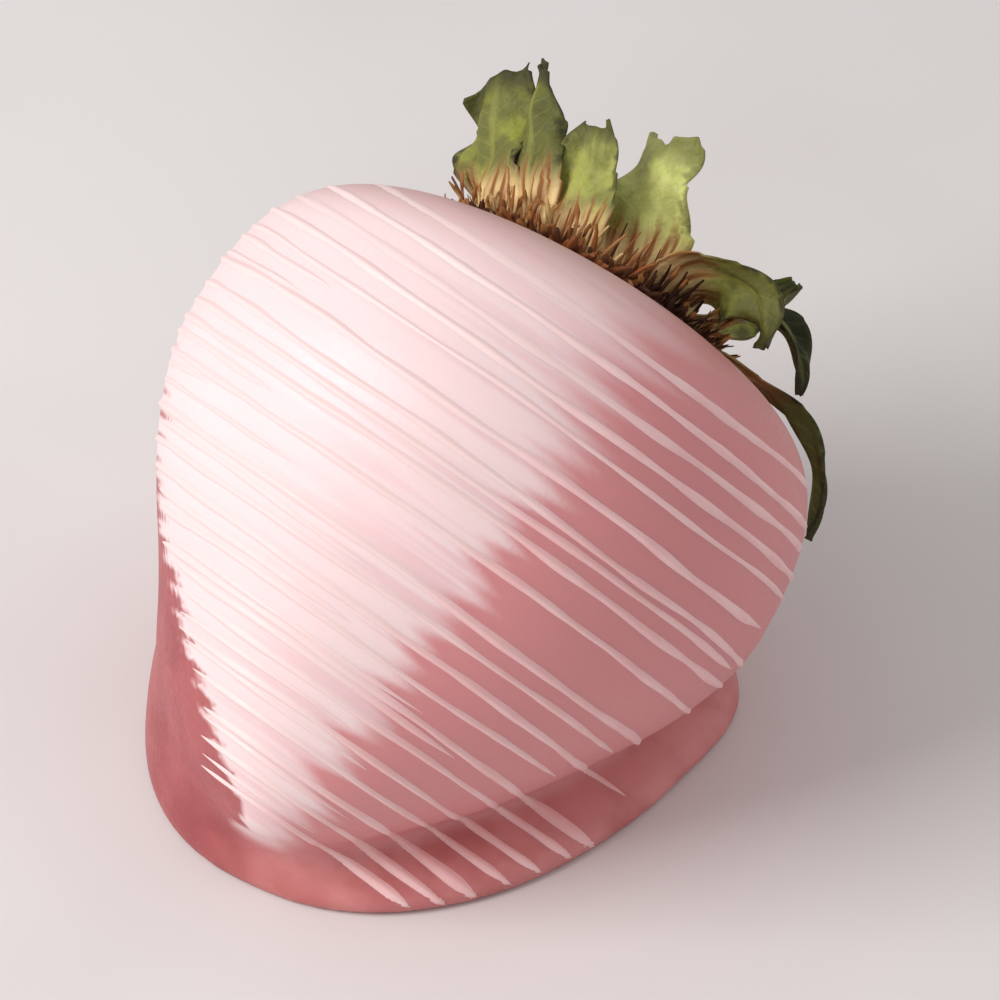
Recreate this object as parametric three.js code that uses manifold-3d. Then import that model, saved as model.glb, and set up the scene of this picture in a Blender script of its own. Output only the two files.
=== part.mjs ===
// A chocolate coated strawberry: a large strawberry dipped in pink chocolate and set down on its flank,
// where the coat pooled into a low foot. Millimetres, +Z up. The origin lies on the flat underside of the
// foot, below the centre of the berry's widest ring. The berry's axis lies in the YZ plane: its tip points
// along -Y and down, its leafy crown along +Y and up.
import * as THREE from 'three';
import { mergeVertices } from 'three/addons/utils/BufferGeometryUtils.js';
import Module from 'manifold-3d';

// Driving dimensions
const RING_RADIUS = 23;       // widest ring of the coated berry
const TIP_LENGTH = 29.4;      // widest ring to the tip, along the axis
const SHOULDER_LENGTH = 13.6; // widest ring to the coat's rim round the crown
const RIM_RADIUS = 12;        // the coat's opening, measured outside
const RIM_LIP = 0.5;          // the coat's edge stands this far out of its shoulder, and is as thin
const COAT_THICKNESS = 1.8;
const PIECE_GAP = 0.3;        // left between pieces that touch
const BERRY_TILT = 28;        // degrees: the axis falls this far towards the tip
const RING_HEIGHT = 21;       // ring centre above the table: the flank is about 1 mm flattened
const TIP_SIDE_SHIFT = -1.3;  // the tip leans this far to one side
const TIP_DROP = -0.5;        // and this far down
const FOOT_HALF_WIDTH = 20;   // the pooled foot is egg-shaped, widest towards the crown
const FOOT_FRONT_LENGTH = 30;
const FOOT_BACK_LENGTH = 12;
const FOOT_CENTRE = [-2.5, 5];
const FOOT_ROUNDNESS = 2.2;   // exponent of its outline: 2 is an ellipse
const FOOT_RISE = 5.5;        // how high it climbs the flank
const WALL_RISE = 22;         // how high it climbs where the coat ran down the flank in a wall
const WALL_SIDE = [-0.757, -0.653]; // plan direction of the wall
const WALL_SPREAD = [80, 25]; // degrees to each side of it: where the wall starts, and where it is full
const NECK_RADIUS = 10.2;     // the fruit where it shows inside the coat's rim
const NECK_RISE = 0.7;        // how far the fruit stands out of the rim
const CALYX_RADIUS = 7.6;
const CALYX_THICKNESS = 1.6;
const SEPAL_SEAT_RADIUS = 8.6;
const STEM_RADIUS = 1.3;
const STEM_LENGTH = 6.5;
const SEPAL_THICKNESS = 0.8;

const RAD = Math.PI / 180;
const wasm = await Module();
wasm.setup();

// Points along a cubic Bezier curve in the plane, without its first point when it continues another.
function bezierPoints(from, handleA, handleB, to, steps, skipFirst = false) {
  const curve = new THREE.CubicBezierCurve(
    new THREE.Vector2(...from), new THREE.Vector2(...handleA),
    new THREE.Vector2(...handleB), new THREE.Vector2(...to));
  return curve.getPoints(steps).slice(skipFirst ? 1 : 0);
}

// Half outline of the berry as [radius, station] points, from the tip to the neck. `inset` shrinks the
// coated outline to the fruit inside it.
function berryOutline(inset, neckRadius, tipSteps, shoulderSteps) {
  const ring = RING_RADIUS - inset;
  const tip = -(TIP_LENGTH - inset);
  const neck = SHOULDER_LENGTH;
  const nose = bezierPoints([0, tip], [0.29 * ring, tip], [ring, 0.31 * tip], [ring, 0], tipSteps);
  const shoulderEnd = neckRadius + 0.7 * (ring - neckRadius);
  const shoulder = bezierPoints([ring, 0], [ring, 0.75 * neck - inset], [shoulderEnd, neck - inset],
    [neckRadius, neck], shoulderSteps, true);
  return [...nose, ...shoulder];
}

// The tip half leans sideways and down, more towards the tip. The berry's axis is +Y here.
function leanTip(geometry) {
  const position = geometry.getAttribute('position');
  for (let i = 0; i < position.count; i += 1) {
    const reach = THREE.MathUtils.clamp(-position.getY(i) / TIP_LENGTH, 0, 1) ** 1.5;
    position.setX(i, position.getX(i) + TIP_SIDE_SHIFT * reach);
    position.setZ(i, position.getZ(i) + TIP_DROP * reach);
  }
  return geometry;
}

function revolve(outline, segments) {
  return new THREE.LatheGeometry(outline, segments);
}

// From the berry's own frame, with its axis along +Y, to the table's.
const berryToTable = new THREE.Matrix4().makeRotationX(BERRY_TILT * RAD).setPosition(0, 0, RING_HEIGHT);

// A closed three.js geometry as a manifold solid: shared vertices merged, collapsed triangles dropped.
function toSolid(geometry) {
  const bare = geometry.clone();
  bare.deleteAttribute('normal');
  bare.deleteAttribute('uv');
  const merged = mergeVertices(bare, 1e-4);
  const index = merged.index.array;
  const triangles = [];
  for (let i = 0; i < index.length; i += 3) {
    const [a, b, c] = [index[i], index[i + 1], index[i + 2]];
    if (a !== b && b !== c && c !== a) triangles.push(a, b, c);
  }
  return new wasm.Manifold(new wasm.Mesh({
    numProp: 3,
    vertProperties: new Float32Array(merged.getAttribute('position').array),
    triVerts: new Uint32Array(triangles),
  }));
}

function toGeometry(solid) {
  const mesh = solid.getMesh();
  const geometry = new THREE.BufferGeometry();
  geometry.setAttribute('position', new THREE.BufferAttribute(new Float32Array(mesh.vertProperties), 3));
  geometry.setIndex(new THREE.BufferAttribute(new Uint32Array(mesh.triVerts), 1));
  geometry.computeVertexNormals();
  return geometry;
}

// The foot: a mound with a rounded edge and a flat underside on the table. It is low and climbs to the
// flank, and on one side it rises to the berry's widest place in a wall. Both sections are
// [share of the outline, height] from the middle of the underside to the middle of the top.
function footGeometry() {
  const low = [[0, 0], [0.97, 0], [0.995, 0.25], [1, 0.7], [0.985, 1.15], [0.95, 1.6],
    [0.88, 2.2], [0.8, 2.9], [0.7, 4.2], [0.6, FOOT_RISE], [0, FOOT_RISE]];
  const wall = [[0, 0], [0.97, 0], [0.995, 0.25], [1, 0.7], [0.995, 3], [0.985, 5.5],
    [0.96, 8], [0.92, 12], [0.84, 16], [0.6, WALL_RISE], [0, FOOT_RISE]];
  const geometry = revolve(low.map(([share, height]) => new THREE.Vector2(share, height)), 48);
  geometry.rotateX(90 * RAD);
  const position = geometry.getAttribute('position');
  for (let i = 0; i < position.count; i += 1) {
    const angle = Math.atan2(position.getY(i), position.getX(i));
    const side = FOOT_HALF_WIDTH * signedPower(Math.cos(angle), 2 / FOOT_ROUNDNESS);
    const length = Math.sin(angle) > 0 ? FOOT_BACK_LENGTH : FOOT_FRONT_LENGTH;
    const reach = length * signedPower(Math.sin(angle), 2 / FOOT_ROUNDNESS);
    const walled = wallShare(FOOT_CENTRE[0] + side, FOOT_CENTRE[1] + reach);
    const place = i % low.length;
    const share = THREE.MathUtils.lerp(low[place][0], wall[place][0], walled);
    const height = THREE.MathUtils.lerp(low[place][1], wall[place][1], walled);
    position.setXYZ(i, FOOT_CENTRE[0] + share * side, FOOT_CENTRE[1] + share * reach, height);
  }
  return geometry;
}

function signedPower(value, exponent) {
  return Math.sign(value) * Math.abs(value) ** exponent;
}

// How much of a wall the foot is in the direction of a place on the table, from 0 to 1.
function wallShare(x, y) {
  const facing = (x * WALL_SIDE[0] + y * WALL_SIDE[1]) / Math.hypot(x, y);
  return THREE.MathUtils.smoothstep(facing, Math.cos(WALL_SPREAD[0] * RAD), Math.cos(WALL_SPREAD[1] * RAD));
}

// The coat: the dipped outline and its foot, hollowed by the fruit and open at the rim.
function coatingGeometry() {
  const outside = berryOutline(0, RIM_RADIUS, 20, 9);
  outside.push(new THREE.Vector2(RIM_RADIUS - RIM_LIP, SHOULDER_LENGTH + RIM_LIP));
  outside.push(new THREE.Vector2(0, SHOULDER_LENGTH + RIM_LIP));
  const inside = berryOutline(COAT_THICKNESS, NECK_RADIUS + PIECE_GAP, 16, 7);
  const aboveRim = SHOULDER_LENGTH + 2 * RIM_LIP;
  inside.push(new THREE.Vector2(NECK_RADIUS + PIECE_GAP, aboveRim));
  inside.push(new THREE.Vector2(0, aboveRim));
  const dipped = toSolid(leanTip(revolve(outside, 48)).applyMatrix4(berryToTable));
  const hollow = toSolid(leanTip(revolve(inside, 36)).applyMatrix4(berryToTable));
  const span = 4 * RING_RADIUS;
  const table = toSolid(new THREE.BoxGeometry(span, span, span).translate(0, 0, -span / 2));
  return toGeometry(dipped.add(toSolid(footGeometry())).subtract(table).subtract(hollow));
}

// The fruit: its flank keeps a gap to the coat, its shoulder shows as a ring round the crown.
function fruitGeometry() {
  const outline = berryOutline(COAT_THICKNESS + PIECE_GAP, NECK_RADIUS, 16, 7);
  outline.push(new THREE.Vector2(NECK_RADIUS, SHOULDER_LENGTH + NECK_RISE * 0.5));
  outline.push(new THREE.Vector2(NECK_RADIUS - 0.8, SHOULDER_LENGTH + NECK_RISE));
  outline.push(new THREE.Vector2(0, SHOULDER_LENGTH + NECK_RISE));
  return leanTip(revolve(outline, 36));
}

const CROWN_SEAT = SHOULDER_LENGTH + NECK_RISE + PIECE_GAP; // the crown's underside, along the axis

// The calyx: a small domed disc on the fruit with the cut stem standing on it.
function calyxGeometry() {
  const bottom = CROWN_SEAT;
  const top = bottom + CALYX_THICKNESS;
  const outline = [
    new THREE.Vector2(0, bottom),
    new THREE.Vector2(CALYX_RADIUS * 0.8, bottom),
    new THREE.Vector2(CALYX_RADIUS, bottom + CALYX_THICKNESS * 0.4),
    new THREE.Vector2(CALYX_RADIUS * 0.75, top),
    new THREE.Vector2(STEM_RADIUS * 2.2, top + 0.7),
    new THREE.Vector2(STEM_RADIUS * 1.15, top + 1.8),
    new THREE.Vector2(STEM_RADIUS, top + STEM_LENGTH * 0.6),
    new THREE.Vector2(STEM_RADIUS * 1.1, top + STEM_LENGTH - 0.3),
    new THREE.Vector2(STEM_RADIUS * 0.85, top + STEM_LENGTH),
    new THREE.Vector2(0, top + STEM_LENGTH),
  ];
  return revolve(outline, 24);
}

// The crown's sepals, anticlockwise round the calyx. A sepal starts on a circle round the calyx at the
// angle `at` (degrees round the berry's axis from +X). It grows towards the angles `aim`, from its foot to
// its tip, and rises out of the calyx plane by the angles `rise`; a `hold` over 1 keeps the bend for its
// tip. Its blade turns about its own length by `turn` on the way to the tip.
const SEPALS = {
  sepal_01: { at: 50, length: 10.8, width: 7.2, aim: [158, 160], rise: [77, 73], hold: 1, turn: 20 },
  sepal_02: { at: 82, length: 9.0, width: 6.0, aim: [130, 140], rise: [78, 76], hold: 1, turn: 20 },
  sepal_03: { at: 108, length: 12.3, width: 6.0, aim: [155, 170], rise: [72, 64], hold: 1, turn: 20 },
  sepal_04: { at: 134, length: 10.8, width: 7.2, aim: [155, 165], rise: [62, 70], hold: 1, turn: 55 },
  sepal_05: { at: 174, length: 6.0, width: 4.2, aim: [160, 160], rise: [70, 66], hold: 1, turn: 0 },
  sepal_06: { at: 207, length: 11.0, width: 6.0, aim: [210, 214], rise: [66, 52], hold: 1, turn: 0 },
  sepal_07: { at: 238, length: 12.5, width: 4.8, aim: [238, 238], rise: [52, 78], hold: 1, turn: -15 },
  sepal_08: { at: 270, length: 15.0, width: 6.0, aim: [270, 270], rise: [34, -24], hold: 1, turn: 0 },
  sepal_09: { at: 301, length: 13.5, width: 4.8, aim: [301, 301], rise: [46, 66], hold: 1, turn: 20 },
  sepal_10: { at: 338, length: 18.0, width: 3.4, aim: [344, 322], rise: [11, -81], hold: 1.3, turn: 0 },
  sepal_11: { at: 361, length: 12.6, width: 4.0, aim: [360, 340], rise: [60, -80], hold: 1.2, turn: 50 },
  sepal_12: { at: 29, length: 12.2, width: 5.6, aim: [2, -20], rise: [80, -86], hold: 1.1, turn: -55 },
};

// Width of a sepal along its length: a narrow foot, broadest a little past the middle, a pointed tip.
function sepalWidth(share) {
  const foot = 0.5 + 0.5 * Math.min(share / 0.45, 1);
  const taper = Math.sqrt(Math.max(1 - ((share - 0.45) / 0.56) ** 2, 0.02));
  return foot * (share > 0.45 ? taper : 1);
}

// A flat six-sided section, swept along the sepal's bending midline.
function sepalGeometry({ at, length, width, aim, rise, hold, turn }) {
  const steps = 9;
  const axis = new THREE.Vector3(0, 1, 0);
  const radial = (angle) => new THREE.Vector3(Math.cos(angle * RAD), 0, Math.sin(angle * RAD));
  const point = radial(at).multiplyScalar(SEPAL_SEAT_RADIUS);
  point.y = CROWN_SEAT + SEPAL_THICKNESS;
  const section = [[1, 0], [0.55, 1], [-0.55, 1], [-1, 0], [-0.55, -1], [0.55, -1]];
  const vertices = [];
  for (let i = 0; i <= steps; i += 1) {
    const share = i / steps;
    const angle = THREE.MathUtils.lerp(aim[0], aim[1], share);
    const slope = THREE.MathUtils.lerp(rise[0], rise[1], share ** hold) * RAD;
    const along = radial(angle).multiplyScalar(Math.cos(slope)).addScaledVector(axis, Math.sin(slope));
    const across = new THREE.Vector3().crossVectors(radial(THREE.MathUtils.lerp(at, angle, share)), axis);
    across.addScaledVector(along, -across.dot(along)).normalize();
    across.applyAxisAngle(along, turn * share * RAD);
    const up = new THREE.Vector3().crossVectors(across, along);
    const half = (width / 2) * sepalWidth(share);
    const thick = (SEPAL_THICKNESS / 2) * (1 - 0.4 * share);
    for (const [sideways, upward] of section) {
      vertices.push(point.clone().addScaledVector(across, sideways * half).addScaledVector(up, upward * thick));
    }
    point.addScaledVector(along, length / steps);
  }
  return closedSweep(vertices, section.length);
}

// A closed mesh through rings of `count` points each, with flat end caps.
function closedSweep(vertices, count) {
  const rings = vertices.length / count;
  const index = [];
  for (let ring = 0; ring < rings - 1; ring += 1) {
    for (let i = 0; i < count; i += 1) {
      const a = ring * count + i;
      const b = ring * count + ((i + 1) % count);
      index.push(a, a + count, b, b, a + count, b + count);
    }
  }
  const last = (rings - 1) * count;
  for (let i = 1; i < count - 1; i += 1) {
    index.push(0, i, i + 1);
    index.push(last, last + i + 1, last + i);
  }
  const geometry = new THREE.BufferGeometry().setFromPoints(vertices);
  geometry.setIndex(index);
  geometry.computeVertexNormals();
  return geometry;
}

function piece(name, geometry, color, roughness) {
  const mesh = new THREE.Mesh(geometry, new THREE.MeshStandardMaterial({ color, roughness, metalness: 0 }));
  mesh.name = name;
  return mesh;
}

const PINK_CHOCOLATE = '#f2c6c6';
const RED_FLESH = '#b3262b';
const LEAF_GREEN = '#6f7c35';
const STEM_GREEN = '#8d9a55';

const strawberry = new THREE.Group();
strawberry.add(piece('coating', coatingGeometry(), PINK_CHOCOLATE, 0.45));

const berry = new THREE.Group();
berry.rotation.x = BERRY_TILT * RAD;
berry.position.z = RING_HEIGHT;
berry.add(piece('fruit', fruitGeometry(), RED_FLESH, 0.4));
berry.add(piece('calyx', calyxGeometry(), STEM_GREEN, 0.6));
for (const [name, form] of Object.entries(SEPALS)) {
  berry.add(piece(name, sepalGeometry(form), LEAF_GREEN, 0.6));
}
strawberry.add(berry);

export default strawberry;
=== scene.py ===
# Looks of the chocolate coated strawberry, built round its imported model. Shapes are worked out in
# millimetres in the model's frame (+Z up) and written to Blender in metres.
import math
import random
from collections import namedtuple

import bpy
import numpy as np
from mathutils import Matrix, Vector


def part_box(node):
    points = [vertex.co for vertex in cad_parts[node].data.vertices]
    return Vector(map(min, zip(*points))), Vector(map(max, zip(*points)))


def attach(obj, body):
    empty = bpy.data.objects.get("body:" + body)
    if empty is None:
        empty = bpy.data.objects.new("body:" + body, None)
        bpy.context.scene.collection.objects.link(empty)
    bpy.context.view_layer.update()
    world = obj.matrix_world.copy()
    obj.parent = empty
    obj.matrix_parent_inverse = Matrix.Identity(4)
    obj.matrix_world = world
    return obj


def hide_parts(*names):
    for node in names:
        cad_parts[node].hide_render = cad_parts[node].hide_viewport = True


MM = 0.001
BODY = "root"

# The berry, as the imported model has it
RING_RADIUS = 23.0
TIP_LENGTH = 29.4
SHOULDER_LENGTH = 13.6
NOSE_FULLNESS = (0.29, 0.31)  # how blunt the tip is, and how late the flank draws in
SHOULDER_FULLNESS = (0.7, 0.75)
RIM_RADIUS = 12.0
RIM_LIP = 0.5
COAT_THICKNESS = 1.8
RIM_DEPTH = 1.1  # how far down the coat's rim is seen inside, round the fruit's neck
PIECE_GAP = 0.3
NECK_RADIUS = 10.2
NECK_RISE = 0.7
TIP_LEAN = (-1.3, -0.5)  # sideways and down, at the tip
BERRY_TILT = math.radians(28)
RING_CENTRE = np.array([0.0, 0.0, 21.0])
CROWN_SEAT = SHOULDER_LENGTH + NECK_RISE + PIECE_GAP

# The pooled foot
FOOT_HALF_WIDTH = 20.0
FOOT_FRONT_LENGTH = 30.0
FOOT_BACK_LENGTH = 12.0
FOOT_CENTRE = (-2.5, 5.0)
FOOT_ROUNDNESS = 2.2
FOOT_SECTION = [(0, 0.97), (0.25, 0.995), (0.7, 1.0), (1.15, 0.985), (1.6, 0.95), (2.2, 0.88),
                (2.9, 0.8), (4.2, 0.7), (5.5, 0.6)]  # height, share of the outline
WALL_SECTION = [(0, 0.97), (0.5, 1.0), (4.0, 0.99), (8.0, 0.96), (12.0, 0.92), (16.0, 0.84),
                (20.0, 0.7), (22.0, 0.6)]  # the same on the side where the coat ran down in a wall
WALL_SIDE = (-0.757, -0.653)  # plan direction of that side
WALL_SPREAD = (math.cos(math.radians(80)), math.cos(math.radians(25)))  # where it starts and is full
CREASE_BLEND = 1.6  # how softly the foot runs into the flank
WALL_BLEND = 4.0  # and on the side of the wall
RIM_BLEND = 0.5
UNEVENNESS = 0.13  # of the coat's surface
COAT_CELL = 0.46  # mesh size of the coat

# The crown
CALYX_RADIUS = 7.6
CALYX_THICKNESS = 1.6
SEPAL_SEAT_RADIUS = 8.6
SEPAL_THICKNESS = 0.8
STEM_RADIUS = 1.3
STEM_LENGTH = 6.5

# The photograph's camera, seen from the ring's centre
CAMERA_AZIMUTH = math.radians(33.1)
CAMERA_ELEVATION = math.radians(42)
CAMERA_DISTANCE = 450.0
VIEW_WIDTH = 69.93  # what the frame spans at the ring's centre
VIEW_SHIFT = (1.78, -1.63)  # the frame's centre, right and up of the ring's centre

# The drizzle: thin strands that lie in parallel planes, each `station` from the ring's centre
DRIZZLE_NORMAL = np.array([0.169, 0.788, 0.592])
STRAND_STEP = 0.45
# The strands that run right over the berry, from the crown to the tip: station, width and height
STRANDS = [
    (12.6, 1.2, 0.10), (10.6, 0.8, 0.20), (8.8, 1.0, 0.12), (7.0, 0.8, 0.22), (5.4, 0.6, 0.16),
    (2.5, 0.8, 0.26), (0.3, 0.7, 0.22), (-1.0, 0.7, 0.22), (-2.3, 0.8, 0.26), (-4.8, 0.75, 0.24),
    (-8.5, 0.85, 0.28), (-10.3, 0.7, 0.24), (-12.1, 0.8, 0.26), (-14.0, 0.65, 0.22), (-16.1, 0.8, 0.26),
    (-17.9, 0.7, 0.24), (-20.0, 0.7, 0.24), (-21.8, 0.65, 0.22), (-23.6, 0.8, 0.26), (-25.3, 0.7, 0.24),
    (-27.0, 0.7, 0.22),
]
FILM_AND_PAINTED_LIGHT_SIDE = np.array([-0.90, -0.06, 0.43])  # towards the lit side, where drizzle has run flat and the coat is paler with painted light
FILM_AND_PAINTED_LIGHT_EDGE = -5.0  # and where that paler coat ends, from the ring's centre
FILM_AND_PAINTED_LIGHT_DRAWN_IN = 1.5  # this much sooner near the crown
FILM_AND_PAINTED_LIGHT_SOFTNESS = (2.8, 8.3)  # how softly it ends, towards the tip and near the crown
RIM_FADE = 6.5  # how far from the rim the coat starts to brown with painted shade under the crown
FILL_SPACING = 1.25  # between the long strands, shorter ones start at the left
FILL_RANGE = (7.0, -27.5)
FILL_CLEARANCE = 0.55  # from a strand that runs right over
FILL_REACH = (0.25, 0.6)  # what share of the way over they get
FOOT_STRANDS_FROM = -14.0  # strands nearer the tip than this run on over the foot, on the right
END_HEIGHTS = (1.6, 0.7)  # how low strands get, and those that run on over the foot
STRAND_WRAP = math.radians(34)  # how far the others cling past the widest place before they end
LEFT = -np.array([math.cos(CAMERA_AZIMUTH), math.sin(CAMERA_AZIMUTH), 0])
BARE_TURN = (0.62, 1.0)  # the coat is free of drizzle, and takes painted shade, where it faces left by more than this, low and high
BARE_HEIGHTS = (6.5, 23.0)  # and these are the low and the high place
TOOTH_SPREAD = (-0.03, 0.045)  # the strands' left ends stop this far from there
BELL = 1.75  # how narrow a strand's ridge is between its flared feet

# Colours as a screen shows them, 0 to 255. Where there are two, a noise pattern mixes them.
FLANK_PINK = (220, 144, 146)
# paler coat on the lit side: drizzle run flat there, with painted light
FILM_AND_PAINTED_LIGHT_PINK = (248, 219, 220)
FILM_LINE_PINK = (229, 174, 180)
# painted shade under the crown, on the coat near the rim
RIM_PAINTED_SHADE_BROWN = (178, 112, 98)
# deeper pinks where the coat is free of drizzle: the base coat's colour, darkened with painted shade
FOOT_PINKS_AND_SHADE = (194, 112, 111), (214, 140, 138)
# darker reds on the wall side: a painted shadow over the base coat's colour
WALL_REDS_AND_SHADOW = (160, 72, 75), (176, 88, 90)
# strands on the lit side, paler with its painted light
STRAND_PALE = (248, 216, 214)
STRAND_PINKS = (247, 192, 192), (250, 204, 203)
FLESH_REDS = (150, 24, 20), (184, 52, 38)
FLESH_BROWNS = (72, 26, 18), (128, 62, 40)
LEAF_GREENS = (68, 68, 12), (140, 142, 38)
LEAF_SHADE = (52, 50, 12)
# partly painted light on sepals that face the lamp
LEAF_PALE = (220, 224, 136)
# partly painted shade on folds and on the crown's shaded side
LEAF_DARK = (36, 38, 18)
LEAF_VEIN = (178, 180, 84)
LEAF_UNDERSIDE = (160, 164, 84)
LEAF_WITHERED = (44, 42, 20)
LEAF_FEET = (150, 92, 44), (244, 212, 150)
STEM_GREENS = (104, 84, 40), (152, 148, 82)
THREAD_CREAM = (246, 214, 150)
THREAD_RUST = (164, 98, 52)
# dark brown, most of it on the crown's shaded side as painted shade
THREAD_DARK = (56, 26, 10)
THREAD_FOOT = (104, 46, 22)
THREAD_HEAD = (160, 104, 52)
FLOOR_GREYS = (222, 217, 216), (228, 224, 223)
AMBIENT_TINT = (0.95, 0.93, 0.93, 1)
AMBIENT_STRENGTH = 0.54

BERRY_SIDE = np.array([1.0, 0.0, 0.0])
BERRY_AXIS = np.array([0.0, math.cos(BERRY_TILT), math.sin(BERRY_TILT)])
BERRY_UP = np.array([0.0, -math.sin(BERRY_TILT), math.cos(BERRY_TILT)])
BERRY_AXES = np.array([BERRY_SIDE, BERRY_AXIS, BERRY_UP])


# ---- places and curves

def to_berry(points):
    """Table coordinates to the berry's own: sideways, along its axis to the crown, and up across it."""
    return (points - RING_CENTRE) @ BERRY_AXES.T


def to_table(points):
    return RING_CENTRE + points @ BERRY_AXES


def tip_lean(along):
    """How far the axis has bent sideways and down at a place along it."""
    reach = np.clip(-along / TIP_LENGTH, 0, 1) ** 1.5
    return TIP_LEAN[0] * reach, TIP_LEAN[1] * reach


def unit(vectors):
    vectors = np.asarray(vectors, float)
    return vectors / np.maximum(np.linalg.norm(vectors, axis=-1, keepdims=True), 1e-12)


def lerp(a, b, share):
    return a + (b - a) * share


def smooth_step(low, high, values):
    share = np.clip((values - low) / (high - low), 0, 1)
    return share * share * (3 - 2 * share)


def bezier(start, handle_a, handle_b, end, steps):
    t = np.linspace(0, 1, steps)[:, None]
    return ((1 - t) ** 3 * start + 3 * t * (1 - t) ** 2 * handle_a + 3 * t ** 2 * (1 - t) * handle_b
            + t ** 3 * end)


def smooth_curve(points, samples):
    """A Catmull-Rom curve through the points."""
    points = np.asarray(points, float)
    ends = np.vstack([2 * points[0] - points[1], points, 2 * points[-1] - points[-2]])
    place = np.linspace(0, len(points) - 1, samples)
    first = np.minimum(place.astype(int), len(points) - 2)
    t = (place - first)[:, None]
    a, b, c, d = (ends[first + i] for i in range(4))
    return 0.5 * (2 * b + (c - a) * t + (2 * a - 5 * b + 4 * c - d) * t ** 2
                  + (3 * b - a - 3 * c + d) * t ** 3)


def berry_outline(inset, neck_radius, neck=SHOULDER_LENGTH):
    """Half outline from the tip to the neck, as (radius, place along the axis)."""
    ring = RING_RADIUS - inset
    tip = -(TIP_LENGTH - inset)
    shoulder_end = neck_radius + SHOULDER_FULLNESS[0] * (ring - neck_radius)
    nose = bezier((0, tip), (NOSE_FULLNESS[0] * ring, tip), (ring, NOSE_FULLNESS[1] * tip), (ring, 0), 90)
    shoulder = bezier((ring, 0), (ring, SHOULDER_FULLNESS[1] * neck - inset), (shoulder_end, neck - inset),
                      (neck_radius, neck), 60)
    return np.vstack([nose, shoulder[1:]])


def drizzle_axes():
    """The strands' planes' normal, and the level and rising directions in them."""
    normal = unit(DRIZZLE_NORMAL)
    level = unit(np.cross(normal, (0, 0, 1)))
    return normal, level, np.cross(level, normal)


def station_of(points):
    return (points - RING_CENTRE) @ drizzle_axes()[0]


# ---- fields: negative inside, in mm

class PolarOutline:
    """A solid of revolution about the berry's axis, from an outline that its centre sees all of."""

    def __init__(self, outline):
        angle = np.arctan2(outline[:, 1], outline[:, 0])
        reach = np.hypot(outline[:, 0], outline[:, 1])
        self.angles = np.linspace(-math.pi / 2, math.pi / 2, 1200)
        self.reach = np.interp(self.angles, angle, reach)
        slope = np.gradient(self.reach, self.angles) / self.reach
        self.steepness = 1 / np.sqrt(1 + slope ** 2)

    def __call__(self, points):
        local = to_berry(points)
        side, drop = tip_lean(local[:, 1])
        radius = np.hypot(local[:, 0] - side, local[:, 2] - drop)
        angle = np.arctan2(local[:, 1], radius)
        out = np.hypot(radius, local[:, 1]) - np.interp(angle, self.angles, self.reach)
        return out * np.interp(angle, self.angles, self.steepness)


def coat_outline():
    """The coat's outside, with a rounded lip, closed over the crown."""
    corner = RIM_RADIUS - RIM_LIP
    lip = [(corner + RIM_LIP * math.cos(a), SHOULDER_LENGTH + RIM_LIP * math.sin(a))
           for a in np.linspace(0.2, math.pi / 2, 8)]
    return np.vstack([berry_outline(0, RIM_RADIUS), lip, [(0, SHOULDER_LENGTH + RIM_LIP)]])


def hollow_outline():
    """The space for the fruit, open past the rim."""
    neck = NECK_RADIUS + PIECE_GAP
    above = SHOULDER_LENGTH + 4
    chimney = [(neck, SHOULDER_LENGTH + 1), (neck, above), (0, above)]
    return np.vstack([berry_outline(COAT_THICKNESS, neck, SHOULDER_LENGTH - RIM_DEPTH), chimney])


def smooth_min(a, b, width):
    share = np.clip(0.5 + 0.5 * (b - a) / width, 0, 1)
    return b + (a - b) * share - width * share * (1 - share)


def waves(points, count, shortest, longest, seed):
    """Gentle unevenness from -1 to 1: a few plane waves in seeded directions."""
    draw = random.Random(seed)
    total = np.zeros(len(points))
    for _ in range(count):
        direction = unit([draw.gauss(0, 1) for _ in range(3)])
        length = draw.uniform(shortest, longest)
        total += np.sin(2 * math.pi * (points @ direction) / length + draw.uniform(0, 2 * math.pi))
    return total / count


dipped_berry = PolarOutline(coat_outline())
berry_hollow = PolarOutline(hollow_outline())
foot_profile = smooth_curve(FOOT_SECTION, 240)
wall_profile = smooth_curve(WALL_SECTION, 240)


def walled(points):
    """From 0 to 1 on the side where the coat ran down in a wall."""
    plan = unit(points[:, :2] - RING_CENTRE[:2]) @ np.array(WALL_SIDE)
    return smooth_step(*WALL_SPREAD, plan)


def outline_share(profile, height):
    """The outline's share at a height, with its slope."""
    height = np.clip(height, 0, profile[-1, 0])
    slopes = np.gradient(profile[:, 1], profile[:, 0])
    return np.interp(height, profile[:, 0], profile[:, 1]), np.interp(height, profile[:, 0], slopes)


def foot_field(points):
    """The low mound: an egg outline in plan, drawn in with height."""
    x = points[:, 0] - FOOT_CENTRE[0]
    y = points[:, 1] - FOOT_CENTRE[1]
    length = np.where(y > 0, FOOT_BACK_LENGTH, FOOT_FRONT_LENGTH)
    power = FOOT_ROUNDNESS
    share = (np.abs(x / FOOT_HALF_WIDTH) ** power + np.abs(y / length) ** power) ** (1 / power)
    share = np.maximum(share, 1e-6)
    local_radius = np.hypot(x, y) / share
    wall = walled(points)
    foot_share, foot_slope = outline_share(foot_profile, points[:, 2])
    wall_share, wall_slope = outline_share(wall_profile, points[:, 2])
    allowed = lerp(foot_share, wall_share, wall)
    slope = lerp(foot_slope, wall_slope, wall)
    top = lerp(foot_profile[-1, 0], wall_profile[-1, 0], wall)
    out = (share - allowed) * local_radius / np.sqrt(1 + (local_radius * slope) ** 2)
    return np.maximum(out, points[:, 2] - top)


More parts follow.
